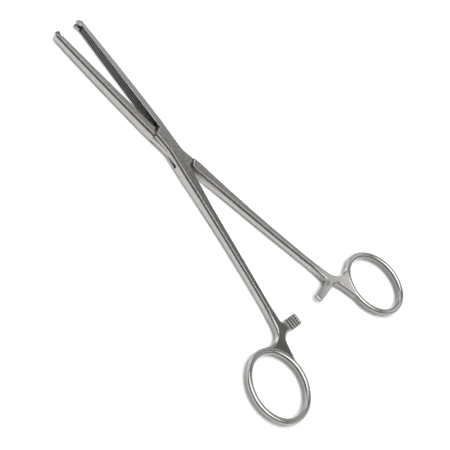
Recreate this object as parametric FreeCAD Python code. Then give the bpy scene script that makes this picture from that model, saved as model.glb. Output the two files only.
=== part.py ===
import FreeCAD, Part
import math
import os

# Toothed ring-handled forceps with a box lock, long straight jaws and a ratchet.
# Millimetres and degrees. Z is up, the jaws point along +Y, and the pivot pin
# stands on the Z axis with the bottom of the box lock at Z = 0.
# Each half is drawn in its own closed frame: jaw on the +X side of the middle
# line, handle on the -X side. The tongue half is mirrored before it is placed.

os.makedirs("parts", exist_ok=True)

V = FreeCAD.Vector

# how far the halves stand open as they lie
open_angle = 10.0

# lengths along the middle line, measured from the pivot
jaw_reach = 73.3
box_end = 14.0
ratchet_radius = 93.0
neck_reach = 10.0
ring_drop = 16.7
ring_centre_x = -30.9

# box lock
box_thick = 6.0
waist_half = 3.8
leaf_flare = 4.8
leaf_reach = 11.2
leaf_slant = 27.5
shoulder_gap = 0.45
edge_bevel = 0.4
slot_thick = 2.0
slot_half = 7.8
tongue_side_gap = 0.08
tongue_end_gap = 0.15
pin_radius = 1.5
pin_clearance = 0.05

# gap left between the two halves when they are shut
closing_gap = 0.16

# jaws
jaw_root_width = 4.25
jaw_tip_width = 2.75
jaw_bow = 0.3
jaw_tip_thick = 4.2
jaw_tip_round = 2.9
jaw_tip_bevel = 0.7
jaw_tip_slope = 3.0
face_bevel = 0.45
jaw_stations = 4

# the outer sides of jaws, lock and shanks bulge: they lean inward by this much
# where they meet the bevels of the upper and lower edges
side_slope = 29.0
side_bevel = 0.65

# cross serrations along the jaw faces
serration_pitch = 0.84
serration_depth = 0.34
serration_start = 13.0
serration_end_margin = 3.9

# one tooth on the tongue half, two on the box half
single_tooth_height = 1.8
double_tooth_height = 1.25
tooth_length = 3.2
tooth_point = 0.7
tooth_back_share = 0.7
tooth_sink = 0.9
tooth_root_run = 0.6
tooth_thick = 3.8
tooth_root_half = 0.45
tooth_flare = 0.26
tooth_clearance = 0.15

# shanks
shank_root_width = 5.3
shank_end_width = 3.6
shank_end_thick = 4.1
shank_end_x = 11.2
shank_bow = 0.55
shank_bevel = 0.6
shank_width_power = 1.6
shank_thick_power = 2.5
shank_square_root = 0.1
shank_round_rate = 3.0
shank_stations = 8
shank_dive = 5.0

# finger rings, an oval of four arcs
ring_hole_long = 14.0
ring_hole_short = 12.0
ring_wire_width = 3.05
ring_wire_thick = 4.3
ring_wire_sides = 16
ring_end_ratio = 0.895
box_ring_tilt = 8.3
tongue_ring_tilt = 4.7

# neck between shank, ratchet and ring
neck_thick = 3.9
neck_overlap = 5.0
neck_inset = 0.3
neck_outer_fillet = 7.0
neck_inner_fillet = 4.2
neck_throat_fillet = 0.9
neck_waist_x = -14.3
neck_web_inset = 0.9
neck_web_radius = 90.0
neck_edge = 0.8

# ratchet bars
lower_ratchet_width = 5.4
upper_ratchet_width = 4.0
ratchet_root_x = -8.7
ratchet_overlap = 3.0
lower_ratchet_reach = 0.6
upper_ratchet_reach = 1.4
ratchet_pitch = 1.5
ratchet_tooth_depth = 0.6
ratchet_plain_tip = 1.5
lower_ratchet_teeth = 4
upper_ratchet_teeth = 3
ratchet_pass_gap = 0.12
ratchet_tip_bevel = 0.5
ratchet_corner = 1.0
ratchet_edge = 0.7

mid_z = box_thick / 2.0
shank_end = ratchet_radius - neck_reach
neck_start = neck_overlap - shank_end
ring_centre_y = -(ratchet_radius + ring_drop)
half_gap = closing_gap / 2.0

# cutters run on well past what they cut, or just a little past its faces
far = 400.0
past = 1.0

# closeness for picking edges by where they lie
near = 0.01


def close_polygon(points):
    return Part.makePolygon(points + [points[0]])


def prism_z(points, z_low, z_high):
    """Upright prism on a polygon given as (x, y) pairs."""
    wire = close_polygon([V(x, y, z_low) for x, y in points])
    return Part.Face(wire).extrude(V(0, 0, z_high - z_low))


def block(x0, x1, y0, y1, z0, z1):
    return Part.makeBox(x1 - x0, y1 - y0, z1 - z0, V(x0, y0, z0))


def section_side(x, sign, thick, bevel, slope):
    """Edges down one side of a bar's section at Y = 0, and the end of its flat top.

    sign is +1 where the bar lies on the left of this side and -1 on its right.
    """
    low = mid_z - thick / 2.0
    high = mid_z + thick / 2.0
    crown = (thick / 2.0 - bevel) * math.tan(math.radians(slope / 2.0))
    upper = V(x - sign * crown, 0, high - bevel)
    lower = V(x - sign * crown, 0, low + bevel)
    flat = x - sign * (crown + bevel)
    if slope > 0:
        middle = Part.Arc(upper, V(x, 0, mid_z), lower).toShape()
    else:
        middle = Part.makeLine(upper, lower)
    return flat, [
        Part.makeLine(V(flat, 0, high), upper),
        middle,
        Part.makeLine(lower, V(flat, 0, low)),
    ]


def bar_section(y, x_left, x_right, thick, left, right):
    """Closed section across a forged bar at one Y; left and right are (bevel, slope)."""
    low = mid_z - thick / 2.0
    high = mid_z + thick / 2.0
    flat_left, edges_left = section_side(x_left, -1, thick, *left)
    flat_right, edges_right = section_side(x_right, 1, thick, *right)
    top = Part.makeLine(V(flat_left, 0, high), V(flat_right, 0, high))
    bottom = Part.makeLine(V(flat_right, 0, low), V(flat_left, 0, low))
    wire = Part.Wire([top] + edges_right + [bottom] + edges_left[::-1])
    wire.translate(V(0, y, 0))
    return wire


def fused(shapes):
    body = shapes[0].multiFuse(shapes[1:])
    return body.removeSplitter()


# jaw


def jaw_outer_x(y):
    t = (y - box_end) / (jaw_reach - box_end)
    taper = jaw_root_width + (jaw_tip_width - jaw_root_width) * t
    return taper + 4.0 * jaw_bow * t * (1.0 - t)


def jaw_thick(y):
    t = (y - box_end) / (jaw_reach - box_end)
    return box_thick + (jaw_tip_thick - box_thick) * t


def jaw_bar():
    """Tapering D-shaped bar from the box lock to the tip, its end rounded in plan."""
    peak_x = half_gap - serration_depth / 2.0
    wires = []
    for i in range(jaw_stations + 1):
        y = box_end + (jaw_reach - box_end) * i / jaw_stations
        side = (side_bevel, side_slope)
        face = (face_bevel, 0.0)
        wires.append(bar_section(y, peak_x, jaw_outer_x(y), jaw_thick(y), face, side))
    bar = Part.makeLoft(wires, True, True)
    turn = math.radians(45)
    round_mid = V(
        peak_x + (jaw_tip_width - peak_x) * math.sin(turn),
        jaw_reach - jaw_tip_round * (1.0 - math.cos(turn)),
        0,
    )
    outline = Part.Wire([
        Part.makeLine(V(peak_x, box_end, 0), V(peak_x, jaw_reach, 0)),
        Part.Arc(V(peak_x, jaw_reach, 0), round_mid,
                 V(jaw_tip_width, jaw_reach - jaw_tip_round, 0)).toShape(),
        Part.makeLine(V(jaw_tip_width, jaw_reach - jaw_tip_round, 0),
                      V(2 * jaw_root_width, box_end, 0)),
        Part.makeLine(V(2 * jaw_root_width, box_end, 0), V(peak_x, box_end, 0)),
    ])
    bar = bar.common(Part.Face(outline).extrude(V(0, 0, box_thick)))
    return bar.cut(tip_end_bevels())


def tip_end_bevels():
    """Wedges that thin the jaw's end from above and below, and blunt its edges."""
    wedges = []
    for side in (1, -1):
        top = mid_z + side * jaw_tip_thick / 2.0
        thin = top - side * jaw_tip_bevel
        points = [
            V(-far, jaw_reach - jaw_tip_slope * jaw_tip_bevel, top),
            V(-far, jaw_reach - jaw_tip_bevel / 2.0, thin),
            V(-far, jaw_reach, thin - side * jaw_tip_bevel / 2.0),
            V(-far, jaw_reach + past, thin - side * jaw_tip_bevel / 2.0),
            V(-far, jaw_reach + past, top + side * past),
            V(-far, jaw_reach - jaw_tip_slope * jaw_tip_bevel, top + side * past),
        ]
        wedges.append(Part.Face(close_polygon(points)).extrude(V(2 * far, 0, 0)))
    return wedges


def serration_comb(phase):
    """Cutter whose edge is the zigzag of the jaw face; phase is 0 or half a pitch."""
    peak = half_gap - serration_depth / 2.0
    root = half_gap + serration_depth / 2.0
    stop = jaw_reach - serration_end_margin
    count = int((stop - serration_start) / serration_pitch)
    first = serration_start - serration_pitch
    points = [(-far, first), (half_gap, first)]
    for i in range(count):
        y = serration_start + i * serration_pitch + phase
        points.append((peak, y))
        points.append((root, y + serration_pitch / 2.0))
    points.append((half_gap, y + serration_pitch))
    points.append((half_gap, jaw_reach + past))
    points.append((-far, jaw_reach + past))
    return prism_z(points, -past, box_thick + past)


def tooth_blank(height):
    """Hooked tooth of the jaw's end: long inner flank, short blunt outer end."""
    root = half_gap + tooth_sink
    points = [
        (root, jaw_reach - tooth_length - tooth_root_run),
        (half_gap, jaw_reach - tooth_length),
        (-height, jaw_reach - tooth_point),
        (-tooth_back_share * height, jaw_reach - tooth_point / 4.0),
        (root, jaw_reach - tooth_point / 8.0),
    ]
    return prism_z(points, mid_z - tooth_thick / 2.0, mid_z + tooth_thick / 2.0)


def tooth_half_at(x):
    """Half thickness of the single tooth; x runs from its point to its root."""
    return tooth_root_half + tooth_flare * (single_tooth_height - x)


def tooth_wedge(x0, x1, extra):
    """The single tooth's wedge, seen from the half that receives it."""
    y0 = jaw_reach - tooth_length - tooth_clearance
    points = [
        V(x0, y0, mid_z - tooth_half_at(x0) - extra),
        V(x1, y0, mid_z - tooth_half_at(x1) - extra),
        V(x1, y0, mid_z + tooth_half_at(x1) + extra),
        V(x0, y0, mid_z + tooth_half_at(x0) + extra),
    ]
    return Part.Face(close_polygon(points)).extrude(V(0, tooth_length + 2.0 * past, 0))


def double_tooth_jaw(jaw):
    """Jaw tip of the box half: two teeth with the notch between them."""
    tip = fused([jaw, tooth_blank(double_tooth_height)])
    notch = tooth_wedge(-double_tooth_height - past,
                        single_tooth_height + tooth_clearance, tooth_clearance)
    return tip.cut(notch)


def single_tooth_jaw(jaw):
    """Jaw tip of the tongue half: one tooth with a recess on each side of it."""
    tip = fused([jaw, tooth_blank(single_tooth_height)])
    depth = double_tooth_height + tooth_clearance
    y0 = jaw_reach - tooth_length - tooth_clearance
    around = block(-single_tooth_height - past, depth, y0, jaw_reach + past,
                   -past, box_thick + past)
    keep = tooth_wedge(-depth, single_tooth_height + past, 0.0)
    keep = keep.mirror(V(0, 0, 0), V(1, 0, 0))
    return tip.cut(around.cut(keep))


# box lock


def box_bar():
    """Waisted block of the lock, with the same beveled, bulging sides as the bars."""
    side = (side_bevel, side_slope)
    shank_outer = -(half_gap + shank_root_width)
    wires = [
        bar_section(-box_end, shank_outer, leaf_flare, box_thick, side, side),
        bar_section(0.0, -waist_half, waist_half, box_thick, side, side),
        bar_section(box_end, -leaf_flare, jaw_root_width, box_thick, side, side),
    ]
    return Part.makeLoft(wires, True, True)


def slanted_cutter(distance, inner_sign, slant):
    """Cutter past a slanted wall, with beveled upper and lower wall edges.

    distance is how far the wall stands from the pivot; inner_sign is +1 to take
    away what lies beyond the wall and -1 to take away what lies before it.
    """
    b = edge_bevel
    s = inner_sign
    profile = [
        V(distance - s * (b + past), 0, box_thick + past),
        V(distance, 0, box_thick - b),
        V(distance, 0, b),
        V(distance - s * (b + past), 0, -past),
        V(distance + s * far, 0, -past),
        V(distance + s * far, 0, box_thick + past),
    ]
    tool = Part.Face(close_polygon(profile)).extrude(V(0, 2 * far, 0))
    tool.translate(V(0, -far, 0))
    tool.rotate(V(0, 0, 0), V(0, 0, 1), slant)
    return tool


def leaf_distance():
    return leaf_reach * math.cos(math.radians(leaf_slant))


def turned_half_circle(shape):
    copy = shape.copy()
    copy.rotate(V(0, 0, 0), V(0, 0, 1), 180)
    return copy


def outside_leaves():
    """What the box half leaves free for the other half's jaw and shank."""
    beyond = slanted_cutter(leaf_distance(), 1, 90.0 + leaf_slant)
    jaw_side = block(-far, half_gap, 0.0, far, -past, box_thick + past)
    jaw_end = beyond.common(jaw_side)
    return [jaw_end, turned_half_circle(jaw_end)]


def slot():
    """Slot through the middle of the box half, open on both sides."""
    z0 = mid_z - slot_thick / 2.0
    z1 = mid_z + slot_thick / 2.0
    straight = block(-far, far, -slot_half, slot_half, z0, z1)
    jaw_side = block(-far, half_gap, 0.0, 2 * box_end, z0, z1)
    return straight.multiFuse([jaw_side, turned_half_circle(jaw_side)])


def pin_hole(radius):
    return Part.makeCylinder(radius, box_thick + 2.0 * past, V(0, 0, -past))


def outside_tongue():
    """What is cut from the tongue half so that its middle turns inside the slot."""
    disc = pin_hole(slot_half - tongue_end_gap)
    quarter = block(-far, half_gap, 0.0, 2 * box_end, -past, box_thick + past)
    jaw_end = quarter.cut(disc)
    return [jaw_end, turned_half_circle(jaw_end)]


def tongue_pockets():
    """Upper and lower pockets that thin the tongue half between its shoulders."""
    strip = slanted_pocket_strip()
    z0 = mid_z - slot_thick / 2.0 + tongue_side_gap
    z1 = mid_z + slot_thick / 2.0 - tongue_side_gap
    core = block(-far, far, -far, far, z0, z1)
    return strip.cut(core)


def slanted_pocket_strip():
    """Strip between the two shoulders, wider at its upper and lower edges."""
    reach = leaf_distance() + shoulder_gap
    b = edge_bevel
    profile = [
        V(-reach - b - past, 0, box_thick + past),
        V(-reach, 0, box_thick - b),
        V(-reach, 0, b),
        V(-reach - b - past, 0, -past),
        V(reach + b + past, 0, -past),
        V(reach, 0, b),
        V(reach, 0, box_thick - b),
        V(reach + b + past, 0, box_thick + past),
    ]
    strip = Part.Face(close_polygon(profile)).extrude(V(0, 2 * far, 0))
    strip.translate(V(0, -far, 0))
    strip.rotate(V(0, 0, 0), V(0, 0, 1), 90.0 - leaf_slant)
    return strip


# shank, neck, ring and ratchet


def shank_middle(t):
    root = half_gap + shank_root_width / 2.0
    return -(root + (shank_end_x - root) * t - 4.0 * shank_bow * t * (1.0 - t))


def shank_width(t):
    left = max(0.0, 1.0 - t)
    return shank_end_width + (shank_root_width - shank_end_width) * left ** shank_width_power


def shank_thick(t):
    return shank_end_thick + (box_thick - shank_end_thick) * (1.0 - t) ** shank_thick_power


def shank_bar():
    """Gently bowed bar from the box lock to the neck, sunk into the neck plate."""
    wires = []
    for i in range(shank_stations + 1):
        t = i / shank_stations
        y = -(box_end + (shank_end - box_end) * t)
        middle = shank_middle(t)
        half = shank_width(t) / 2.0
        fade = min(1.0, shank_square_root + shank_round_rate * t)
        outer = (side_bevel + (shank_bevel - side_bevel) * t, side_slope)
        inner = (shank_bevel * fade, side_slope * fade)
        wires.append(bar_section(y, middle - half, middle + half, shank_thick(t), outer, inner))
    # the last stretch dives into the neck plate
    t = 1.0 + shank_dive / (shank_end - box_end)
    half = shank_end_width / 2.0 - neck_inset
    middle = shank_middle(t)
    side = (shank_bevel, side_slope)
    wires.append(bar_section(-shank_end - shank_dive, middle - half, middle + half,
                             neck_thick - neck_inset, side, side))
    return Part.makeLoft(wires, True, True)


def ring_arcs(long_half, short_half):
    """Centres and radii of the four-arc oval, in the ring's own frame."""
    end_radius = ring_end_ratio * short_half
    side_radius = (long_half ** 2 + short_half ** 2 - 2 * long_half * end_radius) / (
        2.0 * (short_half - end_radius))
    end_offset = long_half - end_radius
    side_offset = side_radius - short_half
    return end_radius, side_radius, end_offset, side_offset


def ring_place(shape, tilt):
    shape.rotate(V(0, 0, 0), V(0, 0, 1), -tilt)
    shape.translate(V(ring_centre_x, ring_centre_y, mid_z))
    return shape


def ring_mid_halves():
    return (ring_hole_long + ring_wire_width / 2.0, ring_hole_short + ring_wire_width / 2.0)


def finger_ring(tilt):
    """Oval ring of an oval wire: its many-sided section is turned about four centres."""
    end_r, side_r, end_off, side_off = ring_arcs(*ring_mid_halves())
    split = math.degrees(math.atan2(end_off, side_off))
    segments = []
    for sign in (1, -1):
        segments.append(ring_segment(V(0, sign * end_off, 0), end_r, sign * 90.0, 90.0 - split))
        side = 0.0 if sign > 0 else 180.0
        segments.append(ring_segment(V(-sign * side_off, 0, 0), side_r, side, split))
    return ring_place(fused(segments), tilt)


def ring_segment(centre, radius, direction, half_sweep):
    """Piece of the ring about one centre, from direction - half_sweep onward."""
    start = math.radians(direction - half_sweep)
    out = V(math.cos(start), math.sin(start), 0)
    points = []
    for i in range(ring_wire_sides):
        turn = 2.0 * math.pi * i / ring_wire_sides
        reach = radius + ring_wire_width / 2.0 * math.cos(turn)
        points.append(centre + out * reach + V(0, 0, ring_wire_thick / 2.0 * math.sin(turn)))
    return Part.Face(close_polygon(points)).revolve(centre, V(0, 0, 1), 2.0 * half_sweep)


def toward(start, end, length):
    step = end - start
    return start + step * (length / step.Length)


def shank_wall(side, y, inset):
    """A point on the shank's outer (-1) or inner (+1) wall, sunk by the inset."""
    t = (-y - box_end) / (shank_end - box_end)
    return V(shank_middle(t) + side * (shank_width(t) / 2.0 - inset), y, 0)


def arc_about(centre, start, end):
    """Shorter arc about a centre from start to end."""
    half = (start - centre) + (end - centre)
    half.normalize()
    return Part.Arc(start, centre + half * (start - centre).Length, end).toShape()


def wall_fillet(point, way, side, radius, centre, reach, crossing):
    """Fillet between a wall and a circle further down it.

    side is -1 where the fillet lies to the left of the wall and +1 to the right.
    reach is how far the fillet's centre stands from the circle's centre, and
    crossing picks the first (-1) or the second (+1) place where it does.
    Returns where the fillet leaves the wall, and its centre.
    """
    away = V(-way.y, way.x, 0) * side
    base = point + away * radius
    offset = base - centre
    along = offset.dot(way)
    root = math.sqrt(along * along - offset.dot(offset) + reach * reach)
    fillet_centre = base + way * (crossing * root - along)
    return fillet_centre - away * radius, fillet_centre


def circles_meet(centre_a, radius_a, centre_b, radius_b):
    """Where two circles meet, on the right of the way from the first centre to the second."""
    span = centre_b - centre_a
    along = (span.dot(span) + radius_a ** 2 - radius_b ** 2) / (2.0 * span.Length)
    across = math.sqrt(radius_a ** 2 - along ** 2)
    return toward(centre_a, centre_b, along) + V(span.y, -span.x, 0) * (across / span.Length)


def neck_plate(bar_width, ring_tilt):
    """Flat plate that joins shank, ratchet and ring, with beveled upper and lower edges."""
    end_r, side_r, end_off, side_off = ring_arcs(*ring_mid_halves())
    half_wire = ring_wire_width / 2.0
    tilt = math.radians(ring_tilt)
    ring_along = V(math.sin(tilt), math.cos(tilt), 0)
    ring_across = V(math.cos(tilt), -math.sin(tilt), 0)
    middle = V(ring_centre_x, ring_centre_y, 0)
    top_centre = middle + ring_along * end_off
    side_centre = middle - ring_across * side_off
    pivot = V(0, 0, 0)
    high_radius = ratchet_radius - bar_width / 2.0
    low_radius = ratchet_radius + bar_width / 2.0
    # outer wall: out of the shank, round the bend and onto the ring
    start_out = shank_wall(-1, neck_start, neck_inset)
    leave_out = shank_wall(-1, -shank_end, 0.0)
    way = toward(pivot, leave_out - start_out, 1.0)
    bend = neck_outer_fillet
    wall_on, bend_centre = wall_fillet(
        leave_out, way, -1, bend, top_centre, end_r + half_wire + bend, -1)
    ring_on = toward(bend_centre, top_centre, bend)
    # within the ring the plate's edge follows the wire's middle
    wire_a = toward(top_centre, ring_on, end_r)
    wire_b = toward(side_centre, top_centre, side_r)
    # inner side: a slack hollow edge off the ring, then the fillet under the ratchet
    f = neck_inner_fillet
    fillet_x = neck_waist_x + f
    fillet_centre = V(fillet_x, -math.sqrt((low_radius + f) ** 2 - fillet_x ** 2), 0)
    on_ratchet = toward(pivot, fillet_centre, low_radius)
    outer_side = side_r + half_wire - neck_web_inset
    web_centre = circles_meet(side_centre, neck_web_radius + outer_side,
                              fillet_centre, neck_web_radius - f)
    on_fillet = toward(web_centre, fillet_centre, neck_web_radius)
    on_side = toward(web_centre, side_centre, neck_web_radius)
    wire_c = toward(side_centre, web_centre, side_r)
    # ratchet root and the throat between ratchet and shank
    root_low = on_circle_at(low_radius, ratchet_root_x)
    root_high = on_circle_at(high_radius, ratchet_root_x)
    start_in = shank_wall(1, neck_start, neck_inset)
    leave_in = shank_wall(1, -shank_end, 0.0)
    way = toward(pivot, leave_in - start_in, 1.0)
    throat = neck_throat_fillet
    throat_on, throat_centre = wall_fillet(
        leave_in, way, 1, throat, pivot, high_radius - throat, 1)
    throat_off = toward(pivot, throat_centre, high_radius)
    walls = [
        Part.makeLine(start_out, leave_out),
        Part.makeLine(leave_out, wall_on),
        arc_about(bend_centre, wall_on, ring_on),
        Part.makeLine(ring_on, wire_a),
        arc_about(top_centre, wire_a, wire_b),
        arc_about(side_centre, wire_b, wire_c),
        Part.makeLine(wire_c, on_side),
        arc_about(web_centre, on_side, on_fillet),
        arc_about(fillet_centre, on_fillet, on_ratchet),
        arc_about(pivot, on_ratchet, root_low),
        Part.makeLine(root_low, root_high),
        arc_about(pivot, root_high, throat_off),
        arc_about(throat_centre, throat_off, throat_on),
        Part.makeLine(throat_on, leave_in),
        Part.makeLine(leave_in, start_in),
        Part.makeLine(start_in, start_out),
    ]
    plate = Part.Face(Part.Wire(walls)).extrude(V(0, 0, neck_thick))
    plate.translate(V(0, 0, mid_z - neck_thick / 2.0))
    return beveled_plate(plate, [
        [start_out, leave_out, wall_on, ring_on],
        [on_side, on_fillet, on_ratchet, root_low],
        [root_high, throat_off, throat_on, leave_in, start_in],
    ])


def on_circle_at(radius, x):
    return V(x, -math.sqrt(radius ** 2 - x ** 2), 0)


def beveled_plate(plate, chains):
    """Bevel the upper and lower edges of the plate along chains of its corners."""
    picked = []
    for edge in plate.Edges:
        ends = [edge.firstVertex().Point, edge.lastVertex().Point]
        if abs(ends[0].z - ends[1].z) > near:
            continue
        for chain in chains:
            for pair in zip(chain, chain[1:]):
                if joins(ends, pair):
                    picked.append(edge)
    return plate.makeChamfer(neck_edge, picked)


def joins(ends, pair):
    """Whether an edge's two ends stand over the two corners, in either order."""
    def over(point, corner):
        return math.hypot(point.x - corner.x, point.y - corner.y) < near
    first, second = pair
    return (over(ends[0], first) and over(ends[1], second)) or (
        over(ends[0], second) and over(ends[1], first))


def ratchet_bar(reach, width, z_low, z_high, rounded_side):
    """Bar that follows a circle about the pivot, from the neck to its rounded tip."""
    outer = ratchet_radius + width / 2.0
    inner = ratchet_radius - width / 2.0
    disc = Part.makeCylinder(outer, z_high - z_low, V(0, 0, z_low))
    hole = Part.makeCylinder(inner, z_high - z_low, V(0, 0, z_low))
    root = ratchet_root_x - ratchet_overlap
    bar = disc.cut(hole).common(block(root, reach, -far, 0.0, z_low, z_high))
    tip = [e for e in bar.Edges if abs(e.BoundBox.XMin - reach) < near
           and e.BoundBox.XLength < near and e.BoundBox.YLength < near]
    bar = bar.makeFillet(ratchet_corner, tip)
    z_round = z_high if rounded_side > 0 else z_low
    long_edges = [e for e in bar.Edges if abs(e.BoundBox.ZMin - z_round) < near
                  and e.BoundBox.ZLength < near and e.BoundBox.XMax > ratchet_root_x]
    return bar.makeFillet(ratchet_edge, long_edges)


def lower_ratchet():
    """Ratchet bar of the box half: teeth on top, just under the middle height."""
    top = mid_z - ratchet_pass_gap / 2.0
    low = mid_z - neck_thick / 2.0
    bar = ratchet_bar(lower_ratchet_reach, lower_ratchet_width, low, top, -1)
    return bar.cut(ratchet_teeth(lower_ratchet_reach, top, -1, lower_ratchet_teeth))


def upper_ratchet():
    """Ratchet bar of the tongue half: teeth underneath, just over the middle height."""
    low = mid_z + ratchet_pass_gap / 2.0
    top = mid_z + neck_thick / 2.0
    bar = ratchet_bar(upper_ratchet_reach, upper_ratchet_width, low, top, 1)
    return bar.cut(ratchet_teeth(upper_ratchet_reach, low, 1, upper_ratchet_teeth))


def ratchet_teeth(reach, z_face, side, count):
    """Saw teeth: steep towards the neck, sloping towards the tip, and a bevelled tip."""
    cutters = []
    for i in range(count):
        x0 = reach - ratchet_plain_tip - i * ratchet_pitch
        points = [
            V(x0, 0, z_face - side * past),
            V(x0, 0, z_face + side * ratchet_tooth_depth),
            V(x0 - ratchet_pitch, 0, z_face),
            V(x0 - ratchet_pitch, 0, z_face - side * past),
        ]
        cutters.append(tooth_cutter(points))
    b = ratchet_tip_bevel
    points = [
        V(reach - b, 0, z_face - side * past),
        V(reach - b, 0, z_face),
        V(reach, 0, z_face + side * b),
        V(reach + past, 0, z_face + side * b),
        V(reach + past, 0, z_face - side * past),
    ]
    cutters.append(tooth_cutter(points))
    return cutters


def tooth_cutter(points):
    return Part.Face(close_polygon(points)).extrude(V(0, -far, 0))


# the two halves and the pin


def handle(bar_width, ring_tilt):
    return [shank_bar(), neck_plate(bar_width, ring_tilt), finger_ring(ring_tilt)]


def box_half():
    lock = box_bar()
    lock = lock.cut(outside_leaves())
    lock = lock.cut(slot())
    jaw = double_tooth_jaw(jaw_bar().cut(serration_comb(0.0)))
    arm = handle(lower_ratchet_width, box_ring_tilt)
    body = fused([lock, jaw] + arm + [lower_ratchet()])
    return body.cut(pin_hole(pin_radius))


def tongue_half():
    lock = box_bar()
    lock = lock.cut(outside_tongue())
    jaw = single_tooth_jaw(jaw_bar().cut(serration_comb(serration_pitch / 2.0)))
    arm = handle(upper_ratchet_width, tongue_ring_tilt)
    body = fused([lock, jaw] + arm + [upper_ratchet()])
    body = body.cut(tongue_pockets())
    body = body.cut(pin_hole(pin_radius + pin_clearance))
    return body.mirror(V(0, 0, 0), V(1, 0, 0))


def pivot_pin():
    return Part.makeCylinder(pin_radius, box_thick)


def build():
    pieces = {
        "box_half": (box_half(), -1),
        "tongue_half": (tongue_half(), 1),
        "pivot_pin": (pivot_pin(), -1),
    }
    for name, (shape, side) in pieces.items():
        shape.rotate(V(0, 0, 0), V(0, 0, 1), side * open_angle / 2.0)
        box = shape.BoundBox
        print(name, "solids", len(shape.Solids), "valid", shape.isValid(), "faces", len(shape.Faces),
              "volume %.1f" % shape.Volume, "x %.2f %.2f y %.2f %.2f z %.2f %.2f" % (
                  box.XMin, box.XMax, box.YMin, box.YMax, box.ZMin, box.ZMax))
        shape.exportStep("parts/%s.step" % name)


build()
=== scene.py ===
import bpy
import bmesh
import math
from mathutils import Matrix, Vector


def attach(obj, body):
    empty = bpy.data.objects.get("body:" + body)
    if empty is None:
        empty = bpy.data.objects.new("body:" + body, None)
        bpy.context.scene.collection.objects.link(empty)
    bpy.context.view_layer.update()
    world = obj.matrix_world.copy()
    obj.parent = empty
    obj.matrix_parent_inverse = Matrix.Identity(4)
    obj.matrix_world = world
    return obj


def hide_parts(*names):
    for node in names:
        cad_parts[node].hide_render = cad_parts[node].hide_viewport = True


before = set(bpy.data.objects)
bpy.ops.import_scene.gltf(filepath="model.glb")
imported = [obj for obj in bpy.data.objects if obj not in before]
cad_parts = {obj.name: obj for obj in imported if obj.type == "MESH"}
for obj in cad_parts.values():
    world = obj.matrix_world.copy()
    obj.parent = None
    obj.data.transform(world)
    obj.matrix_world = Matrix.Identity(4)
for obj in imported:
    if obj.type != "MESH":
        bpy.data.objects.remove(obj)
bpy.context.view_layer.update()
mm = 0.001
restTurn = 5.0    # degrees that each half lies turned from the middle line at rest
print("frame loaded, solids:", len(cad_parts))


# materials

def newMaterial(name):
    mat = bpy.data.materials.new(name)
    mat.use_nodes = True
    mat.node_tree.nodes.clear()
    return mat, mat.node_tree


def addNode(tree, kind, x, y, **values):
    node = tree.nodes.new(kind)
    node.location = (x, y)
    for key, value in values.items():
        if hasattr(node, key):
            setattr(node, key, value)
        else:
            node.inputs[key.replace("_", " ")].default_value = value
    return node


def mathNode(tree, kind, x, y, *given):
    # each given value is a number or another node's output
    node = addNode(tree, "ShaderNodeMath", x, y, operation=kind)
    for i, value in enumerate(given):
        if isinstance(value, (int, float)):
            node.inputs[i].default_value = value
        else:
            tree.links.new(value, node.inputs[i])
    return node.outputs[0]


def rangeNode(tree, x, y, value, fromRange, toRange=(0.0, 1.0), smooth=False):
    node = addNode(tree, "ShaderNodeMapRange", x, y)
    if smooth:
        node.interpolation_type = "SMOOTHSTEP"
    tree.links.new(value, node.inputs["Value"])
    for name, (low, high) in (("From", fromRange), ("To", toRange)):
        node.inputs[name + " Min"].default_value = low
        node.inputs[name + " Max"].default_value = high
    return node.outputs["Result"]


def scaledColour(tree, x, y, colour, amount):
    node = addNode(tree, "ShaderNodeVectorMath", x, y, operation="SCALE")
    tree.links.new(colour, node.inputs[0])
    tree.links.new(amount, node.inputs["Scale"])
    return node.outputs["Vector"]


def splitNode(tree, x, y, vector):
    node = addNode(tree, "ShaderNodeSeparateXYZ", x, y)
    tree.links.new(vector, node.inputs[0])
    return node.outputs


satinSteel = {
    "colour": (0.46, 0.449, 0.434, 1.0),
    "darkColour": (0.32, 0.312, 0.302, 1.0),
    "rough": (0.13, 0.19),
    "edgeRadius": 0.5 * mm,
    "grainLength": 60.0,      # waves a metre along the shanks
    "grainWidth": 5200.0,     # and across them
    "grainDepth": 0.005 * mm,
    "mottle": 700.0,
}

polishedSteel = {
    "colour": (0.56, 0.547, 0.529, 1.0),
    "darkColour": (0.48, 0.468, 0.453, 1.0),
    "rough": (0.09, 0.14),
    "edgeRadius": 0.9 * mm,
    "grainLength": 300.0,
    "grainWidth": 2400.0,
    "grainDepth": 0.002 * mm,
    "mottle": 300.0,
    "flank": 0.55,            # painted shade: brightness of the flanks against the crown
    "flankFrom": 0.05,        # upward lean where they end
    "crownFrom": 0.6,
}

# the rings: the polished steel made darker, with darker flanks, as painted shade
ringSteel = dict(polishedSteel)
ringSteel.update({
    "colour": (0.50, 0.489, 0.473, 1.0),
    "darkColour": (0.43, 0.42, 0.406, 1.0),
    "flank": 0.42,
})

# cut serrations: darker, rougher steel, its colours partly the cut finish and partly painted shade of the
# grooves
serratedSteel = {
    "colour": (0.40, 0.391, 0.378, 1.0),
    "darkColour": (0.30, 0.293, 0.284, 1.0),
    "rough": (0.32, 0.45),
    "edgeRadius": 0.05 * mm,
    "grainLength": 2400.0,
    "grainWidth": 2400.0,
    "grainDepth": 0.01 * mm,
    "mottle": 900.0,
    "ridge": -0.05 * mm,      # across the jaw, where the steel is lightest, free of painted shade
    "root": 0.08 * mm,        # and where the painted shade is darkest
    "rootShade": 0.05,
}

# what all the finishes share
finish = {
    "mottleShare": 0.45,      # of the tone, the rest comes from the grain
    "grainShare": 0.55,
    "grainDetail": 3.0,
    "grainRough": 0.6,
    "mottleDetail": 4.0,
    "mottleRough": 0.55,
    "toneFrom": 0.32,         # noise where the dark colour ends
    "toneTo": 0.66,           # and where the light one is full
    "roughFrom": 0.3,
    "roughTo": 0.7,
    "bumpStrength": 0.5,
    "bevelSamples": 6,
    "metalIOR": 2.5,
}

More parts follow.
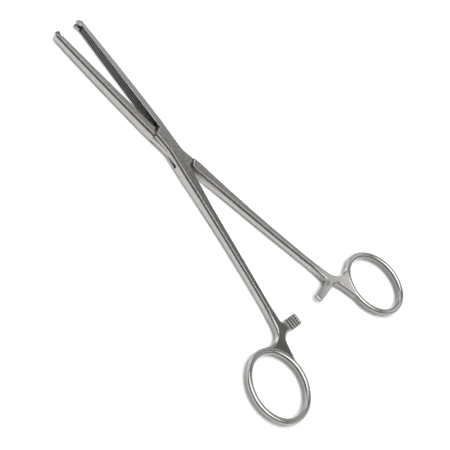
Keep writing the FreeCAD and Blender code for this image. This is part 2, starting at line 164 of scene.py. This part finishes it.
# along each half, where its satin passes into the polish of the neck
neck = {
    "polishFrom": -80.0 * mm,
    "polishFull": -88.0 * mm,
}

# painted shade: ambient occlusion darkens the steel's colour in its own crevices and corners
creviceShade = {
    "reach": 0.9 * mm,        # painted shade: crevices closer than this go dark
    "samples": 8,
    "closed": 0.45,           # how open a spot is where the painted shade is full
    "open": 0.97,
    "darkest": 0.34,
}


def paintCreviceShade(tree, colour):
    crevice = addNode(
        tree, "ShaderNodeAmbientOcclusion", -400, 700,
        samples=creviceShade["samples"], only_local=True, Distance=creviceShade["reach"])
    amount = rangeNode(
        tree, -220, 700, crevice.outputs["AO"],
        (creviceShade["closed"], creviceShade["open"]), (creviceShade["darkest"], 1.0))
    return scaledColour(tree, -60, 560, colour, amount)


# painted shade: steel that leans down or sideways is darkened by its normal's upward lean
def paintFlankShade(tree, look, colour):
    shape = addNode(tree, "ShaderNodeNewGeometry", -400, 940)
    lean = splitNode(tree, -220, 940, shape.outputs["Normal"])
    amount = rangeNode(
        tree, -60, 940, lean["Z"], (look["flankFrom"], look["crownFrom"]), (look["flank"], 1.0))
    return scaledColour(tree, 120, 800, colour, amount)


def shadedRoots(tree, look, coords, colour):
    # painted shade, darker toward the roots of the serrations: depth is measured across the turned jaw
    turn = math.radians(restTurn)
    place = splitNode(tree, -1000, 460, coords.outputs["Object"])
    side = mathNode(tree, "ABSOLUTE", -800, 520, place["X"])
    along = mathNode(tree, "MULTIPLY", -800, 360, place["Y"], -math.sin(turn))
    across = mathNode(tree, "MULTIPLY_ADD", -620, 440, side, math.cos(turn), along)
    depth = rangeNode(
        tree, -440, 440, across, (look["ridge"], look["root"]), (1.0, look["rootShade"]))
    return scaledColour(tree, -160, 300, colour, depth)


def steelTone(tree, look, coords):
    # colour and roughness of one finish, and the brushing that both follow
    link = tree.links.new
    stretch = addNode(tree, "ShaderNodeMapping", -1000, 0)
    stretch.inputs["Scale"].default_value = (look["grainWidth"], look["grainLength"], look["grainWidth"])
    link(coords.outputs["Object"], stretch.inputs["Vector"])
    grain = addNode(
        tree, "ShaderNodeTexNoise", -800, 120,
        Scale=1.0, Detail=finish["grainDetail"], Roughness=finish["grainRough"])
    link(stretch.outputs["Vector"], grain.inputs["Vector"])
    mottle = addNode(
        tree, "ShaderNodeTexNoise", -800, -160,
        Scale=look["mottle"], Detail=finish["mottleDetail"], Roughness=finish["mottleRough"])
    link(coords.outputs["Object"], mottle.inputs["Vector"])
    part = mathNode(tree, "MULTIPLY", -600, 200, grain.outputs["Fac"], finish["grainShare"])
    mixed = mathNode(
        tree, "MULTIPLY_ADD", -600, 0, mottle.outputs["Fac"], finish["mottleShare"], part)
    tone = addNode(tree, "ShaderNodeValToRGB", -400, 120)
    dark, light = tone.color_ramp.elements
    dark.position = finish["toneFrom"]
    dark.color = look["darkColour"]
    light.position = finish["toneTo"]
    light.color = look["colour"]
    link(mixed, tone.inputs["Fac"])
    rough = rangeNode(tree, -400, -120, mixed, (finish["roughFrom"], finish["roughTo"]), look["rough"])
    # painted shade in the crevices
    colour = paintCreviceShade(tree, tone.outputs["Color"])
    # painted shade on the flanks
    if "flank" in look:
        colour = paintFlankShade(tree, look, colour)
    # painted shade at the roots of the serrations
    if "rootShade" in look:
        colour = shadedRoots(tree, look, coords, colour)
    return colour, rough, grain.outputs["Fac"]


def mixNode(tree, kind, x, y, share, first, second):
    node = addNode(tree, "ShaderNodeMix", x, y, data_type=kind)
    sockets = [socket for socket in node.inputs if socket.enabled]
    for socket, value in zip(sockets, (share, first, second)):
        tree.links.new(value, socket)
    return next(socket for socket in node.outputs if socket.enabled)


def steelMaterial(name, look, neckLook=None):
    mat, tree = newMaterial(name)
    link = tree.links.new
    coords = addNode(tree, "ShaderNodeTexCoord", -1200, 0)
    colour, rough, grain = steelTone(tree, look, coords)
    soft = addNode(
        tree, "ShaderNodeBevel", -400, -420,
        samples=finish["bevelSamples"], Radius=look["edgeRadius"])
    if neckLook:
        # one finish passes into the other along the shank
        place = splitNode(tree, -1000, -600, coords.outputs["Object"])
        share = rangeNode(
            tree, -800, -600, place["Y"], (neck["polishFrom"], neck["polishFull"]), smooth=True)
        neckColour, neckRough = steelTone(tree, neckLook, coords)[:2]
        colour = mixNode(tree, "RGBA", -60, 420, share, colour, neckColour)
        rough = mixNode(tree, "FLOAT", -60, -60, share, rough, neckRough)
        radii = (look["edgeRadius"], neckLook["edgeRadius"])
        link(rangeNode(tree, -600, -500, share, (0.0, 1.0), radii), soft.inputs["Radius"])
    bump = addNode(
        tree, "ShaderNodeBump", -200, -300,
        Strength=finish["bumpStrength"], Distance=look["grainDepth"])
    link(soft.outputs["Normal"], bump.inputs["Normal"])
    link(grain, bump.inputs["Height"])
    shader = addNode(tree, "ShaderNodeBsdfPrincipled", 100, 0, Metallic=1.0, IOR=finish["metalIOR"])
    link(colour, shader.inputs["Base Color"])
    link(rough, shader.inputs["Roughness"])
    link(bump.outputs["Normal"], shader.inputs["Normal"])
    out = addNode(tree, "ShaderNodeOutputMaterial", 340, 0)
    link(shader.outputs["BSDF"], out.inputs["Surface"])
    return mat


pinSteel = steelMaterial("satinSteel", satinSteel)
halfSteel = steelMaterial("halfSteel", satinSteel, polishedSteel)
serrated = steelMaterial("serratedSteel", serratedSteel)
ringPolish = steelMaterial("ringSteel", ringSteel)
print("materials made")


# finger rings: an oval path of four arcs swept with an oval wire

ringLook = {
    "centre": (-30.9 * mm, -109.7 * mm, 3.0 * mm),   # of the box half's ring, before its turn
    "tilt": {1: 8.3, -1: 4.7},                       # of the box half and the tongue half
    "halfLength": 15.525 * mm,    # to the middle of the wire
    "halfWidth": 13.525 * mm,
    "endRatio": 0.895,            # radius of the end arcs against the half width
    "wireWidth": 3.05 * mm,
    "wireHeight": 4.3 * mm,
    "stepsAlong": 128,
    "stepsAround": 32,
    "skinFrom": 0.9,              # the solid's points this far out, with the wire's surface at 1,
    "skinTo": 1.02,               # are the skin of its ring
    "drawIn": 0.955,              # and are drawn in to this share of their distance
}


def ovalArcs():
    # radius and centre distance of the end arcs and of the side arcs
    long, short = ringLook["halfLength"], ringLook["halfWidth"]
    endRadius = ringLook["endRatio"] * short
    endShift = long - endRadius
    sideShift = (endShift ** 2 - (short - endRadius) ** 2) / (2 * (short - endRadius))
    return endRadius, endShift, short + sideShift, sideShift


def ringPlace(side):
    # from the ring's own axes to its place at rest
    x, y, z = ringLook["centre"]
    turn = Matrix.Rotation(math.radians(-side * restTurn), 4, "Z")
    tilt = Matrix.Rotation(math.radians(-side * ringLook["tilt"][side]), 4, "Z")
    return turn @ Matrix.Translation((side * x, y, z)) @ tilt


def toRing(point, side):
    return ringPlace(side).inverted() @ point


def fromRing(point, side):
    return ringPlace(side) @ point


def onOval(point):
    # nearest point of the oval path, in the ring's plane
    endRadius, endShift, sideRadius, sideShift = ovalArcs()
    flat = Vector((abs(point.x), abs(point.y)))
    fromEnd = flat - Vector((0.0, endShift))
    if fromEnd.y > 0 and fromEnd.y * sideShift > fromEnd.x * endShift:
        foot = Vector((0.0, endShift)) + fromEnd.normalized() * endRadius
    else:
        centre = Vector((-sideShift, 0.0))
        foot = centre + (flat - centre).normalized() * sideRadius
    return Vector((math.copysign(foot.x, point.x), math.copysign(foot.y, point.y)))


def ringTree():
    tree = bpy.data.node_groups.new("ovalRing", "GeometryNodeTree")
    face = tree.interface
    face.new_socket("Geometry", in_out="INPUT", socket_type="NodeSocketGeometry")
    for name in ("End Radius", "End Shift", "Side Radius", "Side Shift", "Wire Width", "Wire Height", "Turn"):
        face.new_socket(name, in_out="INPUT", socket_type="NodeSocketFloat")
    for name in ("Steps Along", "Steps Around"):
        face.new_socket(name, in_out="INPUT", socket_type="NodeSocketInt")
    face.new_socket("Centre", in_out="INPUT", socket_type="NodeSocketVector")
    face.new_socket("Steel", in_out="INPUT", socket_type="NodeSocketMaterial")
    face.new_socket("Geometry", in_out="OUTPUT", socket_type="NodeSocketGeometry")
    link = tree.links.new
    given = addNode(tree, "NodeGroupInput", -1600, 0)

    def sums(kind, x, y, *values):
        return mathNode(tree, kind, x, y, *values)

    def pick(x, y, which, no, yes):
        node = addNode(tree, "GeometryNodeSwitch", x, y, input_type="FLOAT")
        link(which, node.inputs["Switch"])
        link(no, node.inputs["False"])
        link(yes, node.inputs["True"])
        return node.outputs[0]

    # each point of the path is found from the direction it faces
    index = addNode(tree, "GeometryNodeInputIndex", -1600, 400)
    share = sums("DIVIDE", -1400, 400, index.outputs[0], given.outputs["Steps Along"])
    facing = sums("MULTIPLY", -1240, 400, share, 2 * math.pi)
    cosine = sums("COSINE", -1080, 480, facing)
    sine = sums("SINE", -1080, 320, facing)
    split = sums("ARCTAN2", -1240, 180, given.outputs["End Shift"], given.outputs["Side Shift"])
    steep = sums("ABSOLUTE", -920, 320, sine)
    limit = sums("SINE", -1080, 180, split)
    atEnd = sums("GREATER_THAN", -760, 320, steep, limit)
    signX = sums("SIGN", -920, 560, cosine)
    signY = sums("SIGN", -920, 100, sine)
    shiftX = sums("MULTIPLY", -760, 640, signX, given.outputs["Side Shift"])
    shiftY = sums("MULTIPLY", -760, 60, signY, given.outputs["End Shift"])
    endX = sums("MULTIPLY", -760, 520, cosine, given.outputs["End Radius"])
    widthX = sums("MULTIPLY", -600, 640, cosine, given.outputs["Side Radius"])
    sideX = sums("SUBTRACT", -440, 640, widthX, shiftX)
    endY = sums("MULTIPLY_ADD", -600, 100, sine, given.outputs["End Radius"], shiftY)
    sideY = sums("MULTIPLY", -600, -60, sine, given.outputs["Side Radius"])
    place = addNode(tree, "ShaderNodeCombineXYZ", -60, 400)
    link(pick(-260, 520, atEnd, sideX, endX), place.inputs["X"])
    link(pick(-260, 200, atEnd, sideY, endY), place.inputs["Y"])

    loop = addNode(tree, "GeometryNodeCurvePrimitiveCircle", -260, 0)
    link(given.outputs["Steps Along"], loop.inputs["Resolution"])
    path = addNode(tree, "GeometryNodeSetPosition", 120, 200)
    link(loop.outputs["Curve"], path.inputs["Geometry"])
    link(place.outputs[0], path.inputs["Position"])
    upright = addNode(tree, "GeometryNodeSetCurveNormal", 300, 200)
    upright.mode = "Z_UP"
    link(path.outputs[0], upright.inputs["Curve"])

    wire = addNode(tree, "GeometryNodeCurvePrimitiveCircle", -60, -240, Radius=0.5)
    link(given.outputs["Steps Around"], wire.inputs["Resolution"])
    oval = addNode(tree, "GeometryNodeTransform", 120, -240)
    link(wire.outputs["Curve"], oval.inputs["Geometry"])
    section = addNode(tree, "ShaderNodeCombineXYZ", -60, -420)
    link(given.outputs["Wire Width"], section.inputs["X"])
    link(given.outputs["Wire Height"], section.inputs["Y"])
    section.inputs["Z"].default_value = 1.0
    link(section.outputs[0], oval.inputs["Scale"])
    swept = addNode(tree, "GeometryNodeCurveToMesh", 480, 100)
    link(upright.outputs[0], swept.inputs["Curve"])
    link(oval.outputs[0], swept.inputs["Profile Curve"])
    turned = addNode(tree, "GeometryNodeTransform", 660, 100)
    angle = addNode(tree, "ShaderNodeCombineXYZ", 480, -120)
    link(given.outputs["Turn"], angle.inputs["Z"])
    link(swept.outputs[0], turned.inputs["Geometry"])
    link(angle.outputs[0], turned.inputs["Rotation"])
    link(given.outputs["Centre"], turned.inputs["Translation"])
    smooth = addNode(tree, "GeometryNodeSetShadeSmooth", 840, 100)
    link(turned.outputs[0], smooth.inputs["Geometry"])
    real = addNode(tree, "GeometryNodeRealizeInstances", 1020, 100)
    link(smooth.outputs[0], real.inputs["Geometry"])
    steel = addNode(tree, "GeometryNodeSetMaterial", 1200, 100)
    link(real.outputs[0], steel.inputs["Geometry"])
    link(given.outputs["Steel"], steel.inputs["Material"])
    result = addNode(tree, "NodeGroupOutput", 1380, 100)
    link(steel.outputs[0], result.inputs[0])
    return tree


def fingerRing(tree, name, body, side):
    holder = bpy.data.objects.new(name + "Path", bpy.data.meshes.new(name + "Path"))
    bpy.context.scene.collection.objects.link(holder)
    sweep = holder.modifiers.new("sweep", "NODES")
    sweep.node_group = tree
    endRadius, endShift, sideRadius, sideShift = ovalArcs()
    place = ringPlace(side)
    values = {
        "End Radius": endRadius, "End Shift": endShift,
        "Side Radius": sideRadius, "Side Shift": sideShift,
        "Wire Width": ringLook["wireWidth"], "Wire Height": ringLook["wireHeight"],
        "Steps Along": ringLook["stepsAlong"], "Steps Around": ringLook["stepsAround"],
        "Turn": place.to_euler().z, "Centre": tuple(place.translation), "Steel": ringPolish,
    }
    for item in tree.interface.items_tree:
        if item.item_type == "SOCKET" and item.in_out == "INPUT" and item.name in values:
            sweep[item.identifier] = values[item.name]
    done = holder.evaluated_get(bpy.context.evaluated_depsgraph_get())
    mesh = bpy.data.meshes.new_from_object(done)
    mesh.name = name
    bpy.data.objects.remove(holder)
    piece = bpy.data.objects.new(name, mesh)
    bpy.context.scene.collection.objects.link(piece)
    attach(piece, body)
    print(name, "swept, faces:", len(mesh.polygons))


# side is +1 for the half whose jaw lies at +X and -1 for the other
ovalRing = ringTree()
fingerRing(ovalRing, "boxHalfRing", "box_arm", 1)
fingerRing(ovalRing, "tongueHalfRing", "tongue_arm", -1)


# steel halves: welded copies of the solids with soft shading

halfLook = {
    "weld": 0.0005 * mm,
    "sharpAngle": 26.0,       # degrees
    "faceFrom": 12.5 * mm,    # serrations along the jaw, from here
    "faceTo": 70.0 * mm,      # to here
    "faceNear": -0.12 * mm,   # and this far across it
    "faceFar": 0.28 * mm,
    "faceLean": 0.3,          # a face that looks up or down by more isn't one of them
    "normalWeight": 50,
}


def weldedCopy(nodeName, newName):
    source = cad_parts[nodeName]
    mesh = source.data.copy()
    mesh.name = newName
    piece = bpy.data.objects.new(newName, mesh)
    bpy.context.scene.collection.objects.link(piece)
    bm = bmesh.new()
    bm.from_mesh(mesh)
    bmesh.ops.remove_doubles(bm, verts=bm.verts, dist=halfLook["weld"])
    limit = math.radians(halfLook["sharpAngle"])
    for face in bm.faces:
        face.smooth = True
    for edge in bm.edges:
        edge.smooth = len(edge.link_faces) == 2 and edge.calc_face_angle(0.0) < limit
    bm.to_mesh(mesh)
    bm.free()
    mesh.materials.clear()
    return piece


def drawIn(mesh, side):
    # the solid's many-sided ring shrinks a little, to hide inside the smooth one
    halfWide = ringLook["wireWidth"] / 2
    halfHigh = ringLook["wireHeight"] / 2
    for vertex in mesh.vertices:
        point = toRing(vertex.co, side)
        foot = onOval(point)
        out = Vector((point.x, point.y)) - foot
        reach = math.hypot(out.length / halfWide, point.z / halfHigh)
        if ringLook["skinFrom"] < reach < ringLook["skinTo"]:
            point.xy = foot + out * ringLook["drawIn"]
            point.z *= ringLook["drawIn"]
            vertex.co = fromRing(point, side)


def steelHalf(nodeName, body, side):
    piece = weldedCopy(nodeName, nodeName + "_steel")
    for mat in (halfSteel, serrated):
        piece.data.materials.append(mat)
    drawIn(piece.data, side)
    turn = math.radians(restTurn)
    for face in piece.data.polygons:
        x, y = face.center.xy
        across = side * x * math.cos(turn) - y * math.sin(turn)
        along = y * math.cos(turn) + side * x * math.sin(turn)
        onFace = halfLook["faceNear"] < across < halfLook["faceFar"]
        inRun = halfLook["faceFrom"] < along < halfLook["faceTo"]
        if onFace and inRun and abs(face.normal.z) < halfLook["faceLean"]:
            face.material_index = 1
    weighted = piece.modifiers.new("faceWeights", "WEIGHTED_NORMAL")
    weighted.keep_sharp = True
    weighted.weight = halfLook["normalWeight"]
    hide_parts(nodeName)
    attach(piece, body)
    print(nodeName, "dressed, faces:", len(piece.data.polygons))


steelHalf("box_half", "box_arm", 1)
steelHalf("tongue_half", "tongue_arm", -1)


def paintNode(nodeName, mat):
    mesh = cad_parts[nodeName].data
    mesh.materials.clear()
    mesh.materials.append(mat)


paintNode("pivot_pin", pinSteel)


# studio: white floor, surroundings seen in the steel, camera

# heights are degrees above the horizon, sizes are metres
studio = {
    "floorSize": 3.0,
    "floorColour": (0.93, 0.93, 0.93, 1.0),
    "floorRough": 0.9,
    "floorShine": 0.1,
    "sideSoft": 0.15,         # how softly the far side passes into the near one
    "wall": 1.25,             # white card on the far side, between these heights
    "wallFrom": 25.0,
    "wallFromSoft": 8.0,
    "wallTop": 48.2,
    "wallTopSoft": 0.5,
    "gap": 0.22,              # dark ceiling above the wall
    "softbox": 3.3,           # above the camera, between these heights
    "boxFrom": 46.0,
    "boxTo": 84.0,
    "boxSoft": 5.0,
    "zenith": 0.8,            # ceiling straight above, from here up
    "zenithFrom": 74.0,
    "nearLow": 0.32,          # dark room behind the camera
    "card": 2.0,              # small card beyond the tips, between these heights
    "cardFrom": 7.0,
    "cardTo": 25.0,
    "cardSoft": 5.0,
    "cardEdge": 0.88,         # how far toward the tips a direction meets its edge
    "cardEdgeSoft": 0.07,
    "lamp": 4.6,              # lights the floor and isn't mirrored in the steel
    "lampSize": 0.9,
    "lampPlace": (0.0, 0.0, 0.9),
}


def floor():
    size = studio["floorSize"] / 2
    mesh = bpy.data.meshes.new("floor")
    corners = [(-size, -size, 0), (size, -size, 0), (size, size, 0), (-size, size, 0)]
    mesh.from_pydata(corners, [], [(0, 1, 2, 3)])
    plane = bpy.data.objects.new("floor", mesh)
    bpy.context.scene.collection.objects.link(plane)
    mat, tree = newMaterial("floorWhite")
    shader = addNode(tree, "ShaderNodeBsdfPrincipled", 0, 0, Roughness=studio["floorRough"])
    shader.inputs["Base Color"].default_value = studio["floorColour"]
    shader.inputs["Specular IOR Level"].default_value = studio["floorShine"]
    out = addNode(tree, "ShaderNodeOutputMaterial", 240, 0)
    tree.links.new(shader.outputs["BSDF"], out.inputs["Surface"])
    mesh.materials.append(mat)


def surroundings():
    world = bpy.data.worlds.new("studio")
    bpy.context.scene.world = world
    world.use_nodes = True
    tree = world.node_tree
    tree.nodes.clear()
    coords = addNode(tree, "ShaderNodeTexCoord", -1400, 0)
    toward = splitNode(tree, -1220, 0, coords.outputs["Generated"])
    sine = mathNode(tree, "ARCSINE", -1040, 0, toward["Z"])
    height = mathNode(tree, "MULTIPLY", -860, 0, sine, 180 / math.pi)

    def step(x, y, value, at, soft):
        # from 0 to 1 as the value passes this place
        return rangeNode(tree, x, y, value, (at - soft, at + soft), smooth=True)

    def band(y, low, high, soft):
        under = step(-680, y, height, studio[low], studio[soft])
        over = step(-680, y - 160, height, studio[high], studio[soft])
        return mathNode(tree, "SUBTRACT", -500, y, under, over)

    far = step(-1040, 400, toward["X"], 0.0, studio["sideSoft"])
    near = mathNode(tree, "SUBTRACT", -860, 400, 1.0, far)

    aboveWall = step(-680, 900, height, studio["wallTop"], studio["wallTopSoft"])
    wall = mathNode(
        tree, "MULTIPLY_ADD", -500, 900, aboveWall, studio["gap"] - studio["wall"], studio["wall"])
    onWall = step(-680, 700, height, studio["wallFrom"], studio["wallFromSoft"])
    lift = mathNode(tree, "SUBTRACT", -320, 900, wall, studio["nearLow"])
    wall = mathNode(tree, "MULTIPLY_ADD", -140, 900, lift, onWall, studio["nearLow"])

    box = band(300, "boxFrom", "boxTo", "boxSoft")
    box = mathNode(tree, "MULTIPLY", -320, 300, box, studio["softbox"])
    ceiling = step(-680, -100, height, studio["zenithFrom"], studio["boxSoft"])
    ceiling = mathNode(tree, "MULTIPLY", -500, -100, ceiling, studio["zenith"])
    farSide = mathNode(tree, "ADD", 40, 700, wall, ceiling)
    nearSide = mathNode(tree, "ADD", -140, 300, box, ceiling)
    nearSide = mathNode(tree, "ADD", 40, 300, nearSide, studio["nearLow"])
    farShare = mathNode(tree, "MULTIPLY", 220, 700, farSide, far)
    nearShare = mathNode(tree, "MULTIPLY", 220, 300, nearSide, near)
    value = mathNode(tree, "ADD", 400, 400, farShare, nearShare)

    pastEdge = step(-680, -400, toward["Y"], studio["cardEdge"], studio["cardEdgeSoft"])
    onCard = mathNode(
        tree, "MULTIPLY", -140, -400, band(-560, "cardFrom", "cardTo", "cardSoft"), pastEdge)
    value = mathNode(tree, "MULTIPLY_ADD", 580, 300, onCard, studio["card"], value)
    back = addNode(tree, "ShaderNodeBackground", 760, 300)
    tree.links.new(value, back.inputs["Strength"])
    out = addNode(tree, "ShaderNodeOutputWorld", 940, 300)
    tree.links.new(back.outputs[0], out.inputs["Surface"])


def overheadLight():
    lamp = bpy.data.lights.new("overhead", "AREA")
    lamp.shape = "DISK"
    lamp.size = studio["lampSize"]
    lamp.energy = studio["lamp"]
    holder = bpy.data.objects.new("overhead", lamp)
    holder.location = studio["lampPlace"]
    holder.rotation_mode = "QUATERNION"
    holder.rotation_quaternion = Vector(studio["lampPlace"]).to_track_quat("Z", "Y")
    holder.visible_glossy = False
    bpy.context.scene.collection.objects.link(holder)


# turns in degrees, lengths in millimetres, the lens in pixels of the picture
shot = {
    "azimuth": -87.36,
    "height": 50.06,
    "roll": 47.17,
    "distance": 417.06,
    "target": (-2.57, -40.72, 0.0),
    "focalPixels": 936.29,
    "imageWidth": 450.0,
    "sensorWidth": 36.0,
    "clip": (0.01, 20.0),     # metres
}


def shootingCamera():
    a, e, r = (math.radians(shot[key]) for key in ("azimuth", "height", "roll"))
    back = Vector((math.sin(a) * math.cos(e), -math.cos(a) * math.cos(e), math.sin(e)))
    level = Vector((math.cos(a), math.sin(a), 0.0))
    rise = back.cross(level)
    right = math.cos(r) * level + math.sin(r) * rise
    up = -math.sin(r) * level + math.cos(r) * rise
    data = bpy.data.cameras.new("camera")
    data.sensor_width = shot["sensorWidth"]
    data.lens = shot["focalPixels"] * data.sensor_width / shot["imageWidth"]
    data.clip_start, data.clip_end = shot["clip"]
    camera = bpy.data.objects.new("camera", data)
    place = Matrix((right, up, back)).transposed().to_4x4()
    place.translation = (Vector(shot["target"]) + back * shot["distance"]) * mm
    camera.matrix_world = place
    bpy.context.scene.collection.objects.link(camera)
    bpy.context.scene.camera = camera


floor()
surroundings()
overheadLight()
shootingCamera()
bpy.context.scene.view_settings.view_transform = "Standard"
print("studio ready")

bpy.context.view_layer.update()
